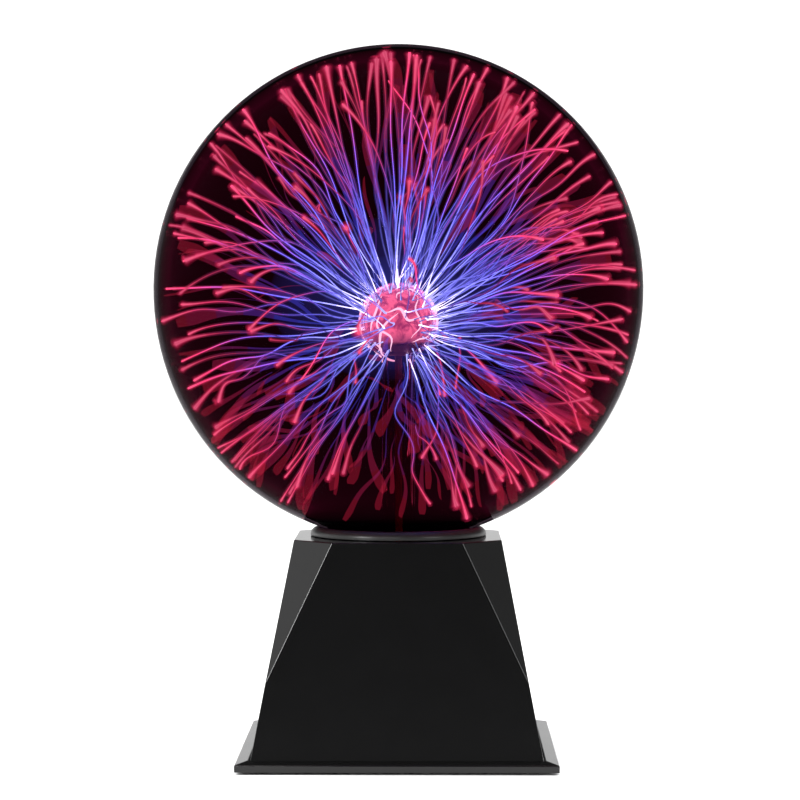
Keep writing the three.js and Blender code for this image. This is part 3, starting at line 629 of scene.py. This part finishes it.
# A streamer's colour along its way out, as it looks through the glass: share of the way, screen colour.
STREAMER_COLOURS = [
    (0.00, (0.98, 0.88, 1.00)),
    (0.05, (0.76, 0.74, 1.00)),
    (0.14, (0.52, 0.52, 0.98)),
    (0.40, (0.38, 0.35, 0.88)),
    (0.56, (0.52, 0.28, 0.74)),
    (0.72, (0.74, 0.24, 0.52)),
    (0.86, (0.86, 0.22, 0.40)),
    (1.00, (0.96, 0.32, 0.48)),
]


def linear(colour):
    """Screen colour values as light."""
    return [c / 12.92 if c <= 0.04045 else ((c + 0.055) / 1.055) ** 2.4 for c in colour]


def behind_glass(colour, gain=1.0):
    """The light that looks like a screen colour once it has come through the globe's wall."""
    return [gain * c / tint for c, tint in zip(linear(colour), GLASS_TINT)]


def ramp_colour(share):
    for (low, a), (high, b) in zip(STREAMER_COLOURS, STREAMER_COLOURS[1:]):
        if share <= high:
            t = (share - low) / (high - low)
            return [x + (y - x) * t for x, y in zip(a, b)]
    return list(STREAMER_COLOURS[-1][1])


def random_unit(rng):
    while True:
        v = Vector([rng.uniform(-1, 1) for _ in range(3)])
        if 0.1 < v.length <= 1:
            return v.normalized()


# Where the discharge is dense or thin: a direction from the globe's centre, how narrow it is, and its weight.
CROWDS = [
    ((-0.80, -0.10, 0.45), 3.0, 0.6),
    ((-0.95, -0.20, -0.10), 4.0, 0.3),
    ((0.85, -0.25, -0.35), 3.5, 0.9),
    ((0.90, 0.00, 0.35), 3.0, 0.6),
    ((0.10, -0.30, 0.95), 3.0, 0.5),
    ((-0.50, -0.60, -0.60), 4.0, 0.2),
    ((0.30, -0.60, -0.70), 4.0, 0.5),
    ((0.00, -1.00, 0.10), 6.0, -0.4),
    ((0.00, 0.00, -1.00), 8.0, -0.5),
]


def crowding(direction):
    weight = 0.55
    for centre, narrow, gain in CROWDS:
        weight += gain * math.exp(narrow * (direction.dot(Vector(centre).normalized()) - 1))
    return weight


def foot_directions(rng, count):
    """Directions of the streamers' feet, evenly spread where the crowding is even.

    count sets how many are tried, and the crowding how many of those are kept.
    """
    golden = math.pi * (3 - math.sqrt(5))
    tries = count * 3
    found = []
    for i in range(tries):
        z = 1 - 2 * (i + 0.5) / tries
        flat = math.sqrt(1 - z * z)
        even = Vector((flat * math.cos(golden * i), flat * math.sin(golden * i), z))
        direction = (even + 0.09 * random_unit(rng)).normalized()
        if direction.z > -0.93 and rng.random() < 0.42 * crowding(direction):
            found.append(direction)
    return found


def streamer_line(rng, direction, root, steps=36, wander=1.0):
    """Points from the bulb to the glass: off the bulb, bowed by rising gas, and square onto the glass."""
    down = min(direction.z, LOWER_STRETCH * direction.z)
    foot = GLOBE_CENTRE + Vector((direction.x, direction.y, down)) * REACH
    away = (foot - ELECTRODE).normalized()
    leave = (0.75 * root + 0.25 * away).normalized()
    start = ELECTRODE + leave * (BULB_RADIUS + 0.3 * MM)
    length = (foot - start).length
    side = away.cross(random_unit(rng)).normalized()
    lift = UP * 0.07 * length * (1 - abs(away.z))
    bow = side * rng.uniform(-0.10, 0.10) * length * wander
    first = start + (0.5 * leave + 0.5 * away) * 0.30 * length + bow
    second = foot - direction * 0.30 * length + bow + lift
    waves = []
    for _ in range(4):
        waves.append((rng.uniform(0.8, 2.6), rng.uniform(0, 6.28), rng.uniform(0.1, 0.9) * MM * wander))
    across = [away.cross(side).normalized(), side]
    points = []
    for i in range(steps + 1):
        t = 1 - (1 - i / steps) ** 1.3
        p = (1 - t) ** 3 * start + 3 * t * (1 - t) ** 2 * first + 3 * t * t * (1 - t) * second + t ** 3 * foot
        ease = max(0, math.sin(math.pi * t)) ** 0.7
        for k, (cycles, phase, size) in enumerate(waves):
            p = p + across[k % 2] * ease * size * math.sin(2 * math.pi * cycles * t + phase)
        points.append(p)
    return points


class Strands:
    """Collects tubes into one mesh, with a material for each zone along their way."""

    def __init__(self, sides):
        self.sides = sides
        self.vertices = []
        self.faces = []
        self.zones = []

    def add(self, points, radii, zones, flatten=1.0, twist=0.0):
        """One closed tube. zones gives each stretch's zone, and flatten squeezes its section."""
        first = len(self.vertices)
        tangent = (points[1] - points[0]).normalized()
        normal = tangent.orthogonal().normalized()
        normal.rotate(Quaternion(tangent, twist))
        for i, (point, radius) in enumerate(zip(points, radii)):
            ahead = (points[min(i + 1, len(points) - 1)] - points[max(i - 1, 0)]).normalized()
            normal.rotate(tangent.rotation_difference(ahead))
            tangent = ahead
            other = tangent.cross(normal)
            for k in range(self.sides):
                angle = 2 * math.pi * k / self.sides
                offset = normal * math.cos(angle) + other * math.sin(angle) * flatten
                self.vertices.append(point + offset * radius)
        rings = len(points)
        for i in range(rings - 1):
            for k in range(self.sides):
                after = (k + 1) % self.sides
                low, high = first + i * self.sides, first + (i + 1) * self.sides
                self.faces.append((low + k, low + after, high + after, high + k))
                self.zones.append(zones[i])
        last = first + (rings - 1) * self.sides
        self.faces.append(tuple(reversed(range(first, first + self.sides))))
        self.zones.append(zones[0])
        self.faces.append(tuple(range(last, last + self.sides)))
        self.zones.append(zones[-1])

    def build(self, name, materials):
        piece = mesh_object(name, self.vertices, self.faces)
        for material in materials:
            piece.data.materials.append(material)
        piece.data.polygons.foreach_set("material_index", self.zones)
        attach(piece, "casing")


def distances(points):
    total = [0.0]
    for a, b in zip(points, points[1:]):
        total.append(total[-1] + (b - a).length)
    return total


def with_round_end(points, radii, size):
    """Adds rings that close a tube's far end with a dome of the given depth."""
    tangent = (points[-1] - points[-2]).normalized()
    end, width = points[-1], radii[-1]
    for angle in (30, 60, 85):
        turn = math.radians(angle)
        points.append(end + tangent * size * math.sin(turn))
        radii.append(width * math.cos(turn))


# The layers of a streamer's soft tail, from the outside in: share of its width, opacity, screen colour, gain.
TAIL_LAYERS = [
    (1.30, 0.05, (0.62, 0.10, 0.24), 0.8),
    (1.05, 0.08, (0.70, 0.12, 0.26), 0.9),
    (0.80, 0.13, (0.80, 0.16, 0.34), 1.0),
    (0.56, 0.20, (0.90, 0.26, 0.44), 1.1),
    (0.34, 0.32, (1.00, 0.46, 0.60), 1.2),
]

# The three kinds of fine core: name, share of all streamers, gain, thickness, and how far its colours are
# shifted along the way.
CORES = [
    ("streamers_hot", 0.22, 2.40, 1.30, -0.05),
    ("streamers_bright", 0.48, 1.30, 1.00, 0.04),
    ("streamers_faint", 0.30, 0.55, 0.90, 0.12),
]


def make_streamers():
    """The fine bright cores with a dim halo, and the soft tails that they widen into before the glass."""
    rng = random.Random(11)
    roots = [random_unit(rng) for _ in range(150)]
    cores = [Strands(8) for _ in CORES]
    halos, tails = Strands(8), [Strands(8) for _ in TAIL_LAYERS]
    directions = []
    for direction in foot_directions(rng, 135):
        directions.append(direction)
        for _ in range(rng.choice((0, 0, 0, 1, 1, 2))):
            directions.append((direction + rng.uniform(0.05, 0.12) * random_unit(rng)).normalized())
    for direction in directions:
        root = max(roots, key=lambda r: r.dot(direction) + 0.12 * r.dot(UP))
        points = streamer_line(rng, direction, root, wander=rng.choice((0.7, 1.0, 1.4, 2.0, 3.0)))
        along = distances(points)
        length = along[-1]
        kind = rng.choices(range(len(CORES)), [share for _, share, _, _, _ in CORES])[0]
        thick = rng.uniform(0.8, 1.2) * CORES[kind][3]
        tail_start = length * rng.uniform(0.55, 0.88)
        foot_size = rng.choice((0.2, 0.6, 0.9, 1.2, 1.7)) * MM
        tail_size = rng.choice((0.35, 0.6, 0.9, 1.3)) * MM

        core, radii = list(points), []
        for s in along:
            share = s / length
            stalk = 0.15 + 0.16 * math.exp(-s / (2.5 * MM)) + 0.22 * max(0, share - 0.6)
            radii.append(stalk * MM * thick + 0.12 * foot_size * math.exp(-(length - s) / (2 * MM)))
        zones = [min(ZONES - 1, int(ZONES * s / length)) for s in along]
        halos.add(points[3:-3], [(0.35 + 0.6 * s / length) * MM for s in along[3:-3]], zones[3:-3])
        with_round_end(core, radii, 0.1 * MM)
        cores[kind].add(core, radii, zones + 3 * zones[-1:])

        first = next(i for i, s in enumerate(along) if s > tail_start)
        widths = []
        for s in along[first:]:
            share = (s - along[first]) / (length - along[first])
            flare = foot_size * math.exp(-(length - s) / (3.2 * MM))
            widths.append(0.2 * MM + tail_size * share ** 1.3 + flare)
        for strands, (share, _, _, _) in zip(tails, TAIL_LAYERS):
            tail, radii = list(points[first:-1]), [width * share for width in widths[:-1]]
            with_round_end(tail, radii, 1.3 * MM * share)
            strands.add(tail, radii, [0] * len(tail))

    for strands, (name, _, gain, _, shift) in zip(cores, CORES):
        materials = []
        for zone in range(ZONES):
            colour = ramp_colour(min(1, max(0, (zone + 0.5) / ZONES + shift)))
            materials.append(glow(f"{name}_{zone:02d}", behind_glass(colour, gain)))
        strands.build(name, materials)
    materials = []
    for zone in range(ZONES):
        colour = ramp_colour(max(0.15, (zone + 0.5) / ZONES))
        materials.append(glow(f"streamer_halo_{zone:02d}", behind_glass(colour), 0.07))
    halos.build("streamer_halos", materials)
    for layer, (strands, (_, alpha, colour, gain)) in enumerate(zip(tails, TAIL_LAYERS)):
        name = f"streamer_tails_{layer}"
        strands.build(name, [glow(name, behind_glass(colour, gain), alpha)])


# Colours of the faint sheets from the bulb to the glass.
VEIL_COLOURS = [
    (0.24, 0.26, 0.80),
    (0.24, 0.26, 0.80),
    (0.24, 0.22, 0.74),
    (0.34, 0.16, 0.56),
    (0.46, 0.12, 0.36),
    (0.54, 0.10, 0.24),
    (0.56, 0.09, 0.18),
]


LOWER_PART = -0.35  # a direction with a smaller z points at the globe's lower part


def make_veils():
    """Faint flat sheets where streamers swept past: blue near the bulb and dark red near the glass."""
    rng = random.Random(23)
    roots = [random_unit(rng) for _ in range(40)]
    veils = Strands(12)
    directions = foot_directions(rng, 100)
    directions += [d for d in foot_directions(rng, 280) if d.z < LOWER_PART]
    for direction in directions:
        root = max(roots, key=lambda r: r.dot(direction))
        low = direction.z < LOWER_PART
        points = streamer_line(rng, direction, root, 30, 2.6 if low else 1.6)
        along = distances(points)
        first, last = rng.randrange(2, 17), 31 if low else rng.randrange(24, 31)
        width = rng.uniform(1.2, 3.2 if low else 4.4) * MM
        keep = points[first:last]
        radii = []
        for i in range(len(keep)):
            share = i / (len(keep) - 1)
            radii.append(width * (0.08 + share ** 1.4) * (1 - 0.5 * max(0, share - 0.85) / 0.15))
        count = len(VEIL_COLOURS)
        places = [min(count - 1, int(count * s / along[-1])) for s in along[first:last]]
        veils.add(keep, radii, places, flatten=0.12, twist=rng.uniform(0, 3.1))
    materials = []
    for place, colour in enumerate(VEIL_COLOURS):
        materials.append(glow(f"veil_{place}", behind_glass(colour, 3.4), 0.06))
    veils.build("streamer_veils", materials)


def make_gas_glow():
    """The dark red glow of the gas next to the glass."""
    outer, inner = REACH + 0.6 * MM, REACH - 4 * MM
    shell = turned("gas_glow", stretched([
        *arc(0, GLOBE_CENTRE.z, outer, -68, 90, 48)[:-1],
        (0, GLOBE_CENTRE.z + outer),
        (0, GLOBE_CENTRE.z + inner),
        *arc(0, GLOBE_CENTRE.z, inner, 90, -68, 48)[1:],
    ]), 96, ring=True)
    maroon = (0.42, 0.06, 0.20)
    gas = glow("gas_glow", behind_glass(maroon, 0.05), 0.02, behind_glass(maroon, 3.0))
    finish_piece(shell, gas, "electrode")


def make_haze():
    """Faint blue light round the bulb, in two soft flattened balls."""
    blue = (0.15, 0.17, 0.48)
    sizes = (("blue_haze_wide", (54, 50, 34), 10, 3.5), ("blue_haze_close", (32, 30, 24), 4, 8))
    for name, (wide, deep, tall), lift, gain in sizes:
        profile = arc(0, 0, 1, -90, 90, 32)
        profile[0], profile[-1] = (0, -1), (0, 1)
        ball = turned(name, profile, 64)
        scale = Matrix.Diagonal((wide * MM, deep * MM, tall * MM, 1))
        ball.data.transform(Matrix.Translation(ELECTRODE + UP * lift * MM) @ scale)
        haze = glow(name, behind_glass(blue, 0.05), 0.01, behind_glass(blue, gain))
        finish_piece(ball, haze, "electrode")


def make_bulb_arcs():
    """White-pink arcs that crawl over the bulb, and the glow that wraps its upper part."""
    rng = random.Random(3)
    arcs = Strands(8)
    for _ in range(26):
        start = random_unit(rng)
        axis = start.cross(random_unit(rng)).normalized()
        sweep = math.radians(rng.uniform(20, 75))
        steps = 14
        wobble = [(rng.uniform(0.5, 1.6), rng.uniform(0, 6.28)) for _ in range(2)]
        points = []
        for i in range(steps + 1):
            t = i / steps
            v = start.copy()
            v.rotate(Quaternion(axis, sweep * t))
            sway = sum(math.sin(2 * math.pi * c * t + p) for c, p in wobble) * 0.06
            v = (v + axis * sway).normalized()
            points.append(ELECTRODE + v * (BULB_RADIUS + 0.6 * MM))
        widest = rng.uniform(0.25, 0.55)
        radii = [(0.08 + widest * math.sin(math.pi * i / steps)) * MM for i in range(steps + 1)]
        arcs.add(points, radii, [0] * len(points))
    arcs.build("bulb_arcs", [glow("bulb_arc", behind_glass((1.0, 0.74, 0.86), 1.3))])

    outer, inner = BULB_RADIUS + 1.1 * MM, BULB_RADIUS + 0.15 * MM
    shell = turned("bulb_glow", [
        *arc(0, ELECTRODE.z, outer, -30, 90, 32)[:-1],
        (0, ELECTRODE.z + outer),
        (0, ELECTRODE.z + inner),
        *arc(0, ELECTRODE.z, inner, 90, -30, 32)[1:],
    ], 64, ring=True)
    pink = (1.0, 0.45, 0.70)
    wrap = glow("bulb_glow", behind_glass(pink, 0.1), 0.02, behind_glass(pink, 110))
    finish_piece(shell, wrap, "electrode")


# ---------------------------------------------------------------- rear controls and fasteners
def cross_recess(screw, size, depth, top):
    """Cuts a cross slot into a screw's head, which faces +Z."""
    bars = []
    for angle in (0, math.pi / 2):
        bar = box_object("bar", (-size, -size * 0.24, top - depth), (size, size * 0.24, top + MM))
        bar.data.transform(Matrix.Rotation(angle, 4, "Z"))
        bars.append(bar)
    carve(screw, bars)


def pan_screw(name, head_radius, head_height, shank_radius, length, placed):
    profile = [(0, -length), (shank_radius * 0.4, -length), (shank_radius, -length + shank_radius)]
    profile += [(shank_radius, 0), (head_radius, 0)]
    profile += arc(head_radius - head_height, 0.25 * head_height, head_height, 0, 80, 8, 0.75 * head_height)
    profile += [(0, head_height)]
    screw = turned(name, profile, 40)
    cross_recess(screw, head_radius * 0.55, head_height * 0.6, head_height)
    screw.data.transform(placed)
    return flat_and_round(screw, 35)


def make_screws(material):
    for corner, (x, y) in zip(CORNER_NAMES, corner_points(BASE_SCREW_AT)):
        placed = Matrix.Translation((x, y, 5.7 * MM)) @ Matrix.Rotation(math.pi, 4, "X")
        screw = pan_screw(f"casing_screw_{corner}", 3 * MM, 1.9 * MM, 1.35 * MM, 14 * MM, placed)
        finish_piece(screw, material, "steel", f"base_screw_{corner}")
    for side, name in ((-1, "left"), (1, "right")):
        placed = rear_matrix(SWITCH_X, REAR_Z) @ Matrix.Translation((side * 10 * MM, 0.3 * MM, 0))
        placed = placed @ Matrix.Rotation(-math.pi / 2, 4, "X")
        screw = pan_screw(f"switch_fixing_{name}", 2.1 * MM, 1.2 * MM, 1.0 * MM, 5.6 * MM, placed)
        finish_piece(screw, material, "steel", f"switch_screw_{name}")


def make_jack(trim, brass):
    placed = rear_matrix(JACK_X, REAR_Z) @ Matrix.Rotation(-math.pi / 2, 4, "X")
    socket = turned("power_socket", [
        (1.4 * MM, -12 * MM),
        (5.4 * MM, -12 * MM),
        (5.4 * MM, 0.3 * MM),
        (6.9 * MM, 0.3 * MM),
        *arc(6.3 * MM, 1.4 * MM, 0.6 * MM, 0, 90, 6),
        *arc(3.7 * MM, 1.4 * MM, 0.6 * MM, 90, 180, 6),
        (3.1 * MM, -8 * MM),
        (1.4 * MM, -8 * MM),
    ], 64, ring=True)
    socket.data.transform(placed)
    flat_and_round(socket, 35)
    finish_piece(socket, trim, "trim", "dc_jack_body")
    pin = turned("power_socket_pin", [
        (0, -14.5 * MM),
        (2.2 * MM, -14.5 * MM),
        (2.2 * MM, -12.3 * MM),
        (1.05 * MM, -12.3 * MM),
        *arc(0.55 * MM, 0.5 * MM, 0.5 * MM, 0, 90, 6),
        (0, 1.0 * MM),
    ], 32)
    pin.data.transform(placed)
    flat_and_round(pin, 35)
    finish_piece(pin, brass, "brass", "dc_jack_pin")


def make_switch_button(material):
    """The slider: a base behind the slot, and a ribbed button through it."""
    button = box_object("slider", (-2.1 * MM, -4 * MM, -1.9 * MM), (2.1 * MM, 2.6 * MM, 1.9 * MM))
    settle(bevelled(button, 0.3 * MM))
    grooves = []
    for at in (-1.2, -0.4, 0.4, 1.2):
        low, high = ((at - 0.14) * MM, 2.2 * MM, -3 * MM), ((at + 0.14) * MM, 4 * MM, 3 * MM)
        grooves.append(box_object("groove", low, high))
    carve(button, grooves)
    base = box_object("slider_base", (-3.5 * MM, -6.1 * MM, -2.5 * MM), (3.5 * MM, -3.9 * MM, 2.5 * MM))
    carve(button, [base], "UNION")
    button.name = "switch_button"
    button.data.transform(rear_matrix(SWITCH_X, REAR_Z) @ Matrix.Translation((-3 * MM, 0, 0)))
    flat_and_round(button)
    finish_piece(button, material, "trim", "switch_slider", body="switch")


# ---------------------------------------------------------------- pieces inside, carried over from the frame
def dress_inside(materials):
    """Gives each carried-over node named in the table a finish, and the boxy ones soft edges."""
    finishes = {
        "steel": ["clamp_screw", "board_screw", "transistor_screw", "switch_housing", "dc_jack_nut"],
        "rubber": ["neck_gasket", "hv_boot", "microphone_grommet"],
        "casing": ["neck_clamp"],
        "laminate": ["circuit_board"],
        "epoxy": ["flyback_housing", "power_transistor", "timer_chip"],
        "ferrite": ["flyback_core"],
        "aluminium": ["heat_sink", "microphone_capsule"],
        "sleeve": ["main_capacitor", "small_capacitor"],
        "copper": ["choke_coil"],
        "film": ["film_capacitor"],
        "ceramic": ["power_resistor"],
        "red_wire": ["hv_lead", "power_lead_positive"],
        "black_wire": ["power_lead_negative"],
        "yellow_wire": ["switch_lead_sound"],
        "white_wire": ["switch_lead_on", "microphone_lead"],
        "tip_glass": ["exhaust_tip"],
    }
    boxy = (
        "switch_housing",
        "circuit_board",
        "power_transistor",
        "timer_chip",
        "flyback_core",
        "heat_sink",
        "film_capacitor",
    )
    for finish, starts in finishes.items():
        for name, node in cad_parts.items():
            if not name.startswith(tuple(starts)):
                continue
            node.material_slots[0].material = materials[finish]
            if name in boxy:
                bevelled(node, 0.15 * MM, 2, 40)


def make_materials():
    return {
        "casing": textured(
            "satin_black_abs",
            (0.0026, 0.0026, 0.0027),
            0.15,
            grain=1400,
            spread=0.08,
            bump=0.015,
            specular=0.38,
        ),
        "trim": textured("satin_charcoal", (0.016, 0.016, 0.016), 0.36, grain=1400, spread=0.08, bump=0.02),
        "rubber": textured("rubber", (0.012, 0.012, 0.012), 0.75, grain=2200, bump=0.12),
        "steel": textured("zinc_steel", (0.56, 0.56, 0.58), 0.34, 1.0, grain=1800, bump=0.05),
        "brass": textured("brass_contact", (0.72, 0.53, 0.24), 0.28, 1.0, grain=1800, bump=0.03),
        "laminate": textured(
            "solder_mask", (0.02, 0.16, 0.06), 0.35, grain=700, spread=0.25, bump=0.1, coat=0.4
        ),
        "epoxy": textured("moulded_epoxy", (0.018, 0.018, 0.02), 0.45, grain=2000, bump=0.1),
        "ferrite": textured("ferrite", (0.035, 0.035, 0.038), 0.7, grain=2600, spread=0.3, bump=0.2),
        "aluminium": textured("extruded_aluminium", (0.62, 0.63, 0.65), 0.4, 1.0, grain=1500, bump=0.08),
        "sleeve": textured("shrunk_sleeve", (0.02, 0.04, 0.2), 0.3, grain=900, bump=0.05, coat=0.3),
        "copper": textured("enamelled_wire", (0.55, 0.19, 0.07), 0.3, 1.0, grain=1100, spread=0.35, bump=0.5),
        "film": textured("dipped_resin", (0.35, 0.06, 0.03), 0.3, grain=600, bump=0.15, coat=0.5),
        "ceramic": textured("cement", (0.6, 0.52, 0.38), 0.8, grain=2400, spread=0.3, bump=0.25),
        "red_wire": textured("red_insulation", (0.42, 0.02, 0.02), 0.45, grain=900),
        "black_wire": textured("black_insulation", (0.02, 0.02, 0.02), 0.45, grain=900),
        "yellow_wire": textured("yellow_insulation", (0.55, 0.38, 0.04), 0.45, grain=900),
        "white_wire": textured("white_insulation", (0.62, 0.62, 0.58), 0.45, grain=900),
        "tip_glass": glass("tip_glass", (0.8, 0.7, 0.75), 1.3),
    }


def main():
    make_camera()
    make_world()
    make_floor()
    area_light("overhead", (0, 0, 1.6), 1.8, 3.0)
    area_light("left", (-1.20, 0.22, 0.86), 1.3, 1.1)
    area_light("right", (1.20, 0.22, 0.86), 1.3, 0.30)
    area_light("front_top", (-0.25, -1.3, 0.95), 0.25, 15)
    area_light("left_edge", (-0.98, -0.87, 0.80), 0.35, 25)
    area_light("right_edge", (0.98, -0.87, 0.80), 0.35, 8)

    view = bpy.context.scene.view_settings
    view.view_transform = "Standard"
    cycles = bpy.context.scene.cycles
    cycles.transparent_max_bounces = 80
    cycles.min_transparent_bounces = 80  # light paths go on behind the dark glass, which keeps noise low
    cycles.min_light_bounces = 6

    materials = make_materials()
    make_body(materials["casing"])
    make_plinth(materials["casing"])
    make_feet(materials["rubber"])
    make_collar(materials["trim"])
    make_globe()
    make_stem()
    make_electrode()
    make_streamers()
    make_veils()
    make_gas_glow()
    make_haze()
    make_bulb_arcs()
    make_screws(materials["steel"])
    make_jack(materials["trim"], materials["brass"])
    make_switch_button(materials["trim"])
    dress_inside(materials)


main()
